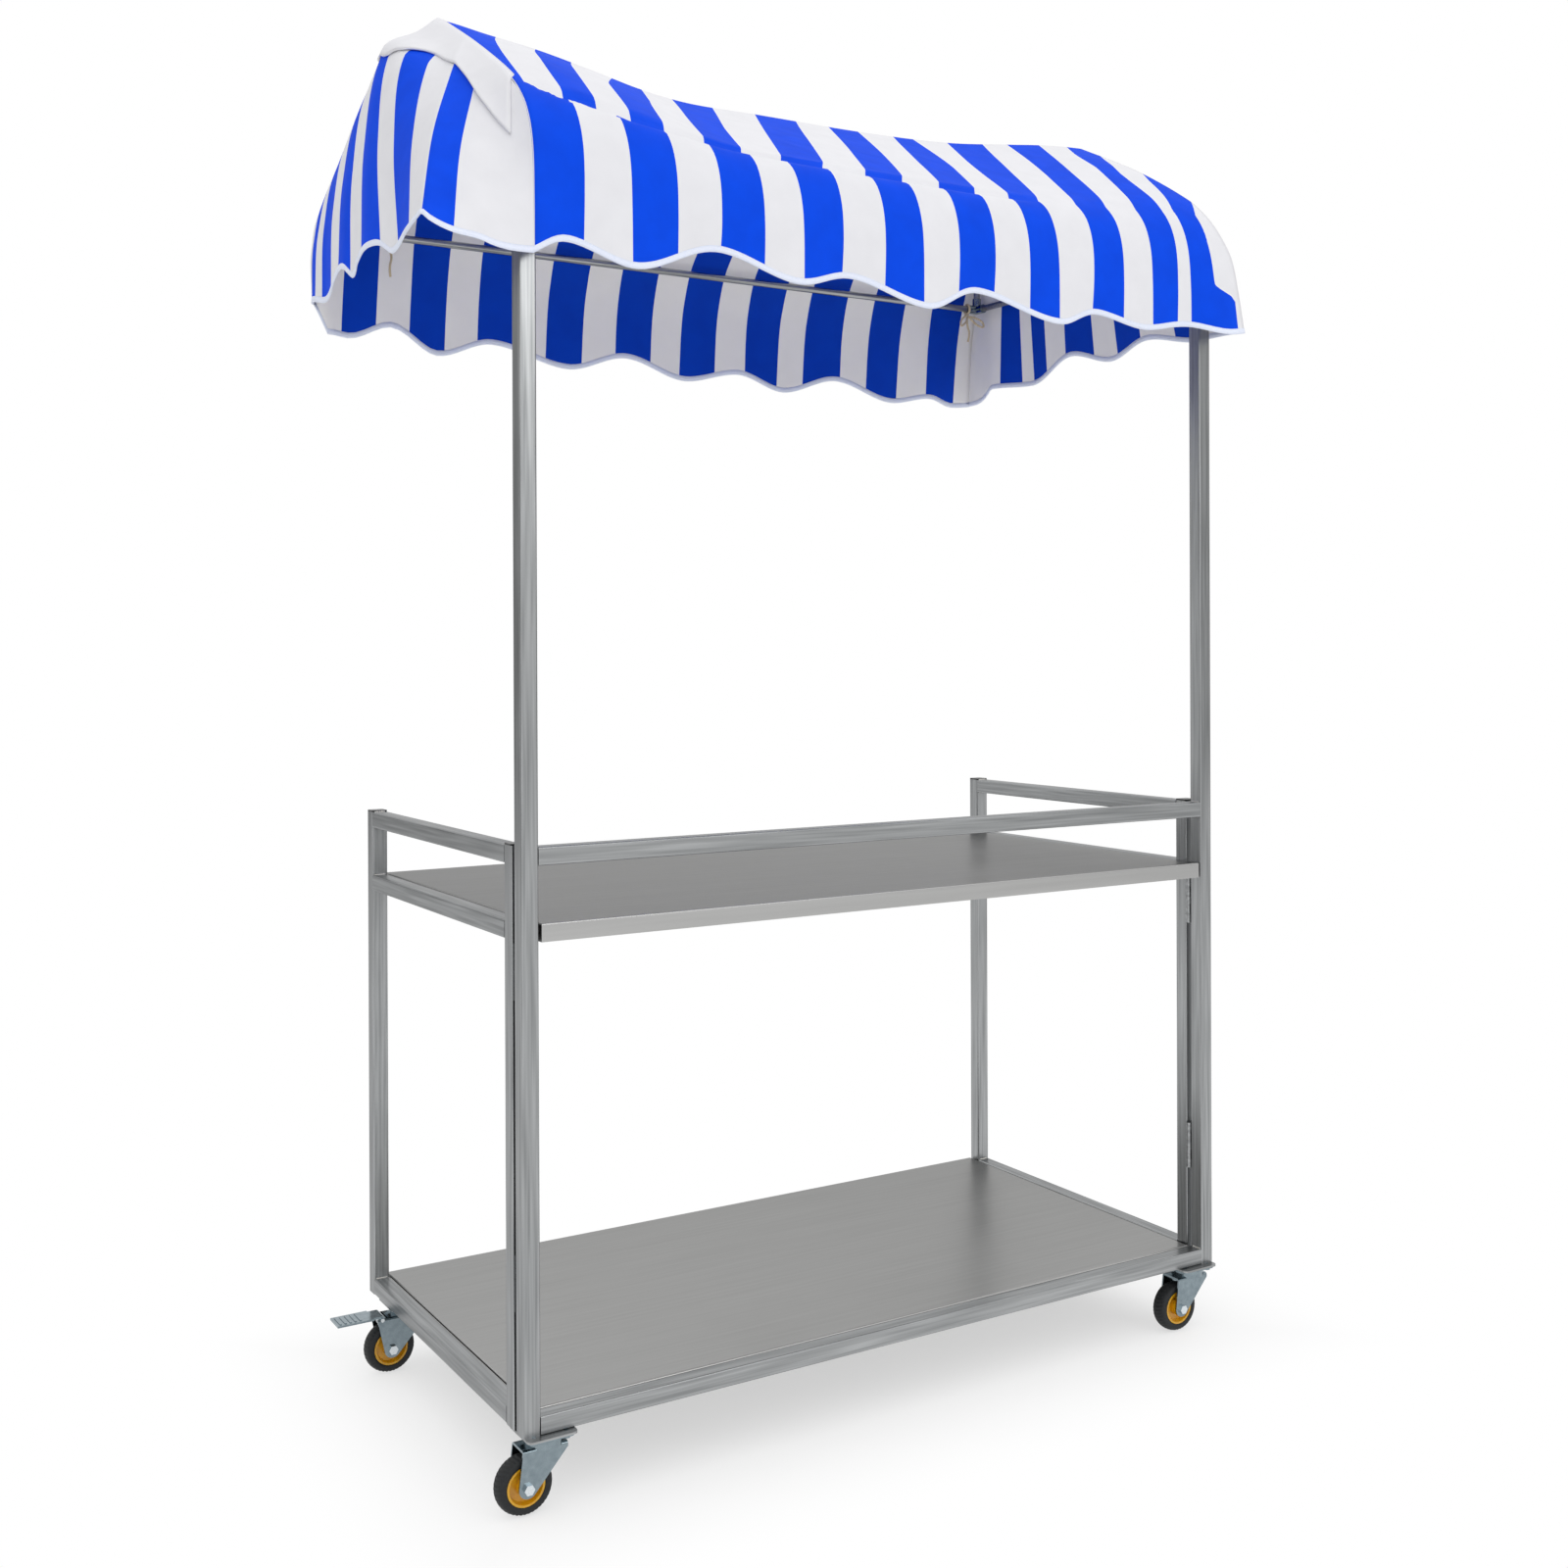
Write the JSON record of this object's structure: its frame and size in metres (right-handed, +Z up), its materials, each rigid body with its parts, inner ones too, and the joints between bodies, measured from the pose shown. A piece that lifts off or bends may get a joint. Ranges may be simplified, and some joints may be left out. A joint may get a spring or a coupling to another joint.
{
  "type": "food cart",
  "caption": "Folding street food cart of square stainless tube with a middle shelf, a bottom deck, swivel casters and a striped cloth canopy on front uprights.",
  "frame": {"origin": "on the floor under the middle of the tube frame", "axes": "+X to the right as a customer sees the cart, +Y back towards the seller, +Z up"},
  "size_m": [1.4276, 0.7804, 2.073],
  "materials": {
    "stainless_tube": "satin",
    "stainless_sheet": "satin",
    "zinc_steel": "bright zinc",
    "black_plastic": "semi-gloss",
    "black_rubber": "matte",
    "amber_plastic": "gloss",
    "striped_cloth": "coated woven, blue and white stripes",
    "cotton_cord": "matte"
  },
  "bodies": {
    "frame": {"caster_kingpins": "zinc_steel", "caster_pads": "stainless_tube", "caster_plate_bolts": "zinc_steel", "caster_plates": "zinc_steel", "deck_ledges": "stainless_sheet", "front_bottom_rail": "stainless_tube", "front_guard_rail": "stainless_tube", "front_left_post": "stainless_tube", "front_right_post": "stainless_tube", "hinge_end_leaves": "stainless_tube", "hinge_front_leaves": "stainless_tube", "hinge_pins": "stainless_tube", "left_end_back_post": "stainless_tube", "left_end_bottom_rail": "stainless_tube", "left_end_front_post": "stainless_tube", "left_end_guard_rail": "stainless_tube", "left_end_shelf_rail": "stainless_tube", "post_plugs": "black_plastic", "right_end_back_post": "stainless_tube", "right_end_bottom_rail": "stainless_tube", "right_end_front_post": "stainless_tube", "right_end_guard_rail": "stainless_tube", "right_end_shelf_rail": "stainless_tube", "shelf_ledges": "stainless_sheet"},
    "middle_shelf": {"middle_shelf": "stainless_sheet", "middle_shelf_ribs": "stainless_sheet"},
    "bottom_deck": {"bottom_deck": "stainless_sheet", "bottom_deck_ribs": "stainless_sheet"},
    "canopy": {"left_upright": "stainless_tube", "right_upright": "stainless_tube", "upright_spigots": "stainless_tube", "upright_caps": "black_plastic", "canopy_front_rod": "stainless_tube", "canopy_back_rod": "stainless_tube", "canopy_side_rods": "stainless_tube", "canopy_elbows": "zinc_steel", "left_hoop": "stainless_tube", "right_hoop": "stainless_tube", "canopy_cloth": "striped_cloth", "tie_knots": "cotton_cord", "left_tie_tail": "cotton_cord", "right_tie_tail": "cotton_cord"},
    "front_left_swivel": {"front_left_fork": "zinc_steel", "front_left_axle": "zinc_steel"},
    "front_left_wheel": {"front_left_hub": "amber_plastic", "front_left_tyre": "black_rubber"},
    "front_right_swivel": {"front_right_fork": "zinc_steel", "front_right_axle": "zinc_steel"},
    "front_right_wheel": {"front_right_hub": "amber_plastic", "front_right_tyre": "black_rubber"},
    "back_left_swivel": {"back_left_fork": "zinc_steel", "back_left_axle": "zinc_steel"},
    "back_left_wheel": {"back_left_hub": "amber_plastic", "back_left_tyre": "black_rubber"},
    "back_left_brake": {"back_left_brake_pedal": "zinc_steel"},
    "back_right_swivel": {"back_right_fork": "zinc_steel", "back_right_axle": "zinc_steel"},
    "back_right_wheel": {"back_right_hub": "amber_plastic", "back_right_tyre": "black_rubber"},
    "back_right_brake": {"back_right_brake_pedal": "zinc_steel"}
  },
  "joints": [
    {"name": "canopy_lift", "type": "slide", "parent": "frame", "child": "canopy", "axis": [0, 0, 1], "range_m": [0, 0.118]},
    {"name": "middle_shelf_draw", "type": "slide", "parent": "frame", "child": "middle_shelf", "axis": [0, 1, 0], "range_m": [0, 0.3]},
    {"name": "bottom_deck_lift", "type": "slide", "parent": "frame", "child": "bottom_deck", "axis": [0, 0, 1], "range_m": [0, 0.12]},
    {"name": "front_left_swivel", "type": "hinge", "parent": "frame", "child": "front_left_swivel", "pos_m": [-0.587, -0.303, 0.091], "axis": [0, 0, 1], "continuous": true},
    {"name": "front_left_wheel_spin", "type": "hinge", "parent": "front_left_swivel", "child": "front_left_wheel", "pos_m": [-0.617, -0.303, 0.04], "axis": [0, 1, 0], "continuous": true},
    {"name": "front_right_swivel", "type": "hinge", "parent": "frame", "child": "front_right_swivel", "pos_m": [0.587, -0.303, 0.091], "axis": [0, 0, 1], "continuous": true},
    {"name": "front_right_wheel_spin", "type": "hinge", "parent": "front_right_swivel", "child": "front_right_wheel", "pos_m": [0.557, -0.303, 0.04], "axis": [0, 1, 0], "continuous": true},
    {"name": "back_left_swivel", "type": "hinge", "parent": "frame", "child": "back_left_swivel", "pos_m": [-0.587, 0.252, 0.091], "axis": [0, 0, 1], "continuous": true},
    {"name": "back_left_wheel_spin", "type": "hinge", "parent": "back_left_swivel", "child": "back_left_wheel", "pos_m": [-0.617, 0.252, 0.04], "axis": [0, 1, 0], "continuous": true},
    {"name": "back_left_brake_press", "type": "hinge", "parent": "back_left_swivel", "child": "back_left_brake", "pos_m": [-0.633, 0.252, 0.089], "axis": [0, -1, 0], "range_deg": [0, 15]},
    {"name": "back_right_swivel", "type": "hinge", "parent": "frame", "child": "back_right_swivel", "pos_m": [0.587, 0.252, 0.091], "axis": [0, 0, 1], "continuous": true},
    {"name": "back_right_wheel_spin", "type": "hinge", "parent": "back_right_swivel", "child": "back_right_wheel", "pos_m": [0.557, 0.252, 0.04], "axis": [0, 1, 0], "continuous": true},
    {"name": "back_right_brake_press", "type": "hinge", "parent": "back_right_swivel", "child": "back_right_brake", "pos_m": [0.541, 0.252, 0.089], "axis": [0, -1, 0], "range_deg": [0, 15]}
  ]
}
